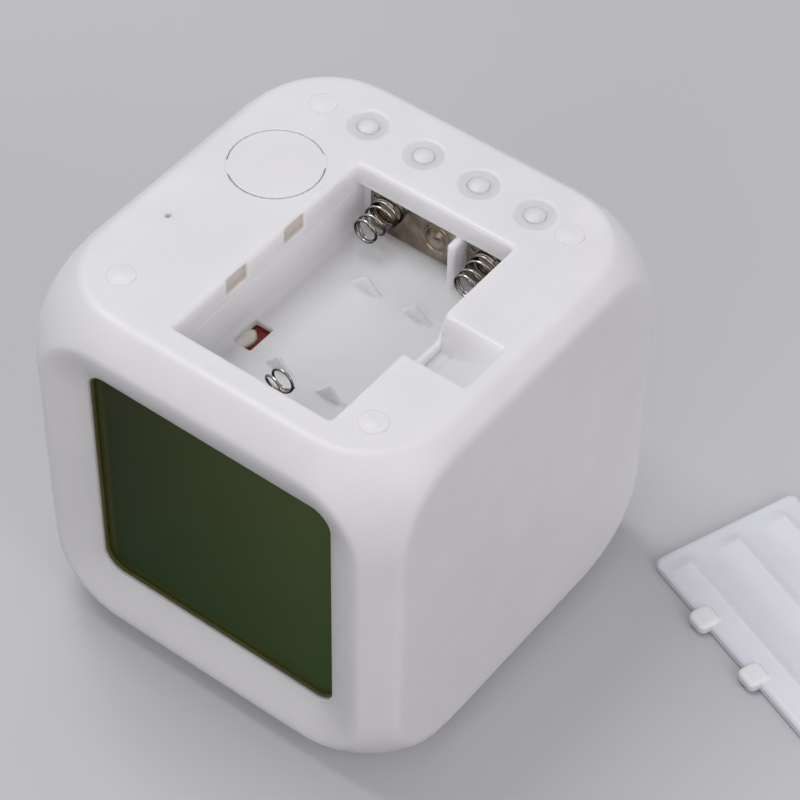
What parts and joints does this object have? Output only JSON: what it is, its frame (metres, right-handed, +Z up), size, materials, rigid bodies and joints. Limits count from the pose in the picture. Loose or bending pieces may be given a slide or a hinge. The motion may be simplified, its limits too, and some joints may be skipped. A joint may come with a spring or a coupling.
{
  "type": "digital cube desk clock",
  "caption": "Cube desk clock with rounded edges, dished display frame and liquid crystal panel, shown base up with its battery door off, press keys, light disc and spring contacts.",
  "frame": {"origin": "centre of the flat top face of the clock, on which it lies with its base facing up", "axes": "+Z up, out of the base and the battery compartment; -Y out of the display; +X to the right when the display is looked at in this base-up pose"},
  "size_m": [0.1437, 0.1047, 0.0806],
  "materials": {
    "case_plastic": "satin",
    "door_plastic": "satin",
    "key_plastic": "satin",
    "foot_rubber": "satin",
    "screw_steel": "satin",
    "amber_gasket": "matte",
    "lcd_glass": "gloss",
    "light_sheet": "matte",
    "connector_rubber": "matte",
    "holder_plastic": "matte",
    "board_laminate": "satin",
    "chip_resin": "satin",
    "crystal_can": "satin",
    "lamp_red": "gloss",
    "lamp_green": "gloss",
    "lamp_blue": "gloss",
    "hot_glue": "satin",
    "sounder_plastic": "matte",
    "switch_plastic": "matte",
    "contact_nickel": "gloss",
    "spring_nickel": "gloss",
    "lead_red": "satin",
    "lead_black": "satin",
    "ribbon_cable": "matte"
  },
  "bodies": {
    "case": {"base_cover": "case_plastic", "base_screw_front_left": "screw_steel", "base_screw_front_right": "screw_steel", "base_screw_rear_left": "screw_steel", "base_screw_rear_right": "screw_steel", "black_lead": "lead_black", "board_screw_left": "screw_steel", "board_screw_right": "screw_steel", "chip_blob": "chip_resin", "crystal": "crystal_can", "display_board": "board_laminate", "foot_front_left": "foot_rubber", "foot_front_right": "foot_rubber", "foot_rear_left": "foot_rubber", "foot_rear_right": "foot_rubber", "front_bridge_plate": "contact_nickel", "front_bridge_spring": "spring_nickel", "front_terminal_plate": "contact_nickel", "holder_screw_high_left": "screw_steel", "holder_screw_high_right": "screw_steel", "holder_screw_low_left": "screw_steel", "holder_screw_low_right": "screw_steel", "key_board": "board_laminate", "key_ribbon": "ribbon_cable", "key_screw_left": "screw_steel", "key_screw_right": "screw_steel", "lamp_blue": "lamp_blue", "lamp_green": "lamp_green", "lamp_red": "lamp_red", "lcd_front_glass": "lcd_glass", "lcd_gasket": "amber_gasket", "lcd_holder": "holder_plastic", "lcd_rear_glass": "lcd_glass", "light_board": "board_laminate", "light_ribbon": "ribbon_cable", "light_screw_front": "screw_steel", "light_screw_rear": "screw_steel", "light_sheet": "light_sheet", "rear_bridge_plate": "contact_nickel", "rear_bridge_spring": "spring_nickel", "rear_terminal_plate": "contact_nickel", "rear_terminal_spring": "spring_nickel", "red_lead": "lead_red", "shell": "case_plastic", "sounder": "sounder_plastic", "switch_down": "switch_plastic", "switch_light": "switch_plastic", "switch_mode": "switch_plastic", "switch_set": "switch_plastic", "switch_up": "switch_plastic", "wire_glue": "hot_glue", "zebra_strip": "connector_rubber"},
    "key_mode": {"key_mode": "key_plastic"},
    "key_set": {"key_set": "key_plastic"},
    "key_up": {"key_up": "key_plastic"},
    "key_down": {"key_down": "key_plastic"},
    "light_disc": {"light_disc": "case_plastic"},
    "battery_door": {"battery_door": "door_plastic"}
  },
  "joints": [
    {"name": "key_mode_press", "type": "slide", "parent": "case", "child": "key_mode", "axis": [0, 0, -1], "range_m": [0, 0.0008], "stiffness_N_per_m": 400},
    {"name": "key_set_press", "type": "slide", "parent": "case", "child": "key_set", "axis": [0, 0, -1], "range_m": [0, 0.0008], "stiffness_N_per_m": 400},
    {"name": "key_up_press", "type": "slide", "parent": "case", "child": "key_up", "axis": [0, 0, -1], "range_m": [0, 0.0008], "stiffness_N_per_m": 400},
    {"name": "key_down_press", "type": "slide", "parent": "case", "child": "key_down", "axis": [0, 0, -1], "range_m": [0, 0.0008], "stiffness_N_per_m": 400},
    {"name": "light_disc_press", "type": "slide", "parent": "case", "child": "light_disc", "axis": [0, 0, -1], "range_m": [0, 0.0005], "stiffness_N_per_m": 500},
    {"name": "battery_door_lift", "type": "slide", "parent": "case", "child": "battery_door", "axis": [0, 0, 1], "range_m": [0, 0.1]}
  ]
}
